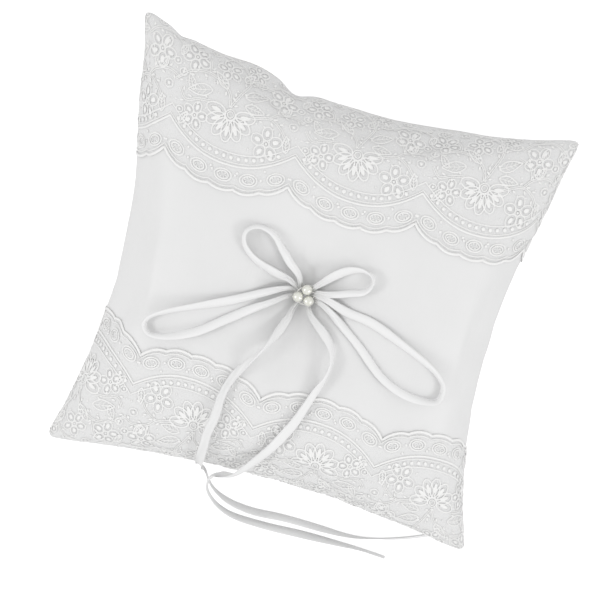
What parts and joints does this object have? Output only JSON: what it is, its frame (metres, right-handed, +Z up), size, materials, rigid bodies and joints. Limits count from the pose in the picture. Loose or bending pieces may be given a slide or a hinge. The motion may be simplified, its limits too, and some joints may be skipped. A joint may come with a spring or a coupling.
{
  "type": "ring bearer pillow",
  "caption": "Square satin cushion for carrying wedding rings, with scalloped lace bands, a looped ribbon bow under pearls and two ribbon tails to tie the rings.",
  "frame": {"origin": "on the surface the pillow rests on, under the middle of its case", "axes": "+Z up through the decorated face, +Y towards the upper lace band, +X to the right of it"},
  "size_m": [0.2029, 0.227, 0.0741],
  "materials": {
    "case_satin": "white satin",
    "filling": "matt polyester fibre",
    "lace": "ivory corded lace on tulle",
    "ribbon_satin": "white double faced satin ribbon",
    "pearl": "pearlescent coat",
    "thread": "white sewing thread"
  },
  "bodies": {
    "root": {"front_panel": "case_satin", "back_panel": "case_satin", "fibre_filling": "filling", "seam_thread": "thread", "closing_stitch": "thread", "lace_band_upper": "lace", "lace_band_lower": "lace", "short_loop_left": "ribbon_satin", "short_loop_right": "ribbon_satin", "long_loop_left": "ribbon_satin", "long_loop_right": "ribbon_satin", "tail_left": "ribbon_satin", "tail_right": "ribbon_satin", "pearl_top": "pearl", "pearl_left": "pearl", "pearl_right": "pearl", "pearl_thread": "thread", "tufting_thread": "thread", "anchor_knot": "thread"}
  },
  "joints": []
}
